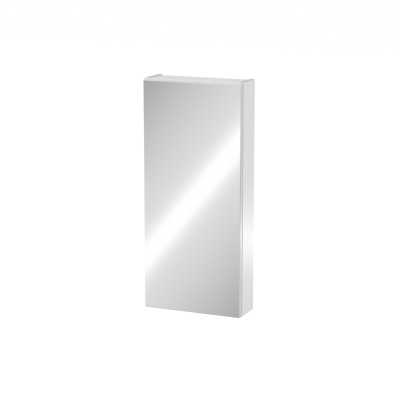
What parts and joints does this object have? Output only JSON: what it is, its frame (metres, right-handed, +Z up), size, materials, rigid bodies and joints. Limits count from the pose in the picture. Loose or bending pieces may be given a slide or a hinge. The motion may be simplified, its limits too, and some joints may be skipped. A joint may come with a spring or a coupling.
{
  "type": "bathroom mirror cabinet",
  "caption": "Tall narrow wall-hung bathroom cabinet in white board, with a full-height mirrored door on cup hinges and glass shelves inside.",
  "frame": {"origin": "on the wall plane, in the middle of the four screw holes of the two wall plates, 75 mm below the cabinet's top", "axes": "+Z up, +X to the right seen from the front, +Y into the wall; the mirror faces -Y"},
  "size_m": [0.4, 0.14, 0.9],
  "materials": {
    "white_board": "white melamine foil on particle board, satin",
    "back_board": "white painted hardboard",
    "white_edge": "white edge band",
    "grey_edge": "light grey edge band",
    "beech": "fluted beech",
    "zinc": "die-cast zinc",
    "bright_steel": "zinc-plated steel",
    "nickel": "nickel-plated pressed steel",
    "zinc_plated_steel": "zinc-plated sheet steel",
    "white_plastic": "moulded nylon",
    "grey_plastic": "moulded acetal",
    "magnet": "sintered ferrite",
    "clear_pad": "clear polyurethane",
    "foam_tape": "white polyethylene foam tape",
    "shelf_glass": "polished float glass",
    "mirror": "silvered float glass"
  },
  "bodies": {
    "carcass": {"left_side_panel": "white_board", "right_side_panel": "white_board", "top_panel": "white_board", "bottom_panel": "white_board", "back_panel": "back_board", "side_front_edge_bands": "white_edge", "panel_front_edge_bands": "white_edge", "side_end_edge_bands": "grey_edge", "corner_dowels": "beech", "cam_lock_discs": "zinc", "cam_lock_bolts": "bright_steel", "hinge_plate_screws": "bright_steel", "hinge_clamp_screws": "bright_steel", "hinge_adjusting_screws": "bright_steel", "push_latch_screws": "bright_steel", "hanger_adjusting_screws": "bright_steel", "hanger_rivets": "bright_steel", "upper_hinge_arm": "nickel", "middle_hinge_arm": "nickel", "lower_hinge_arm": "nickel", "upper_hinge_plate": "nickel", "middle_hinge_plate": "nickel", "lower_hinge_plate": "nickel", "shelf_support_brackets": "nickel", "left_wall_plate": "zinc_plated_steel", "right_wall_plate": "zinc_plated_steel", "left_hanger_hook": "zinc_plated_steel", "right_hanger_hook": "zinc_plated_steel", "left_hanger_housing": "white_plastic", "right_hanger_housing": "white_plastic", "push_latch_housing": "grey_plastic", "shelf_support_pads": "clear_pad", "lower_glass_shelf": "shelf_glass", "middle_glass_shelf": "shelf_glass", "upper_glass_shelf": "shelf_glass"},
    "door": {"door_panel": "white_board", "door_long_edge_bands": "grey_edge", "door_short_edge_bands": "white_edge", "mirror_glass": "mirror", "mirror_bonding_tapes": "foam_tape", "upper_hinge_cup": "nickel", "middle_hinge_cup": "nickel", "lower_hinge_cup": "nickel", "upper_hinge_pin": "bright_steel", "middle_hinge_pin": "bright_steel", "lower_hinge_pin": "bright_steel", "hinge_cup_screws": "bright_steel", "latch_strike_plate": "bright_steel", "strike_plate_screw": "bright_steel", "door_bumpers": "clear_pad"},
    "latch_plunger": {"push_latch_plunger": "grey_plastic", "push_latch_magnet": "magnet"}
  },
  "joints": [
    {"name": "door_swing", "type": "hinge", "parent": "carcass", "child": "door", "pos_m": [-0.19202, -0.1275, -0.375], "axis": [0, 0, -1], "range_deg": [0, 95]},
    {"name": "latch_stroke", "type": "slide", "parent": "carcass", "child": "latch_plunger", "axis": [0, -1, 0], "range_m": [0, 0.012]}
  ],
  "couplings": [
    {"joint": "latch_stroke", "follows": "door_swing", "m_per_rad": 0.007237}
  ]
}
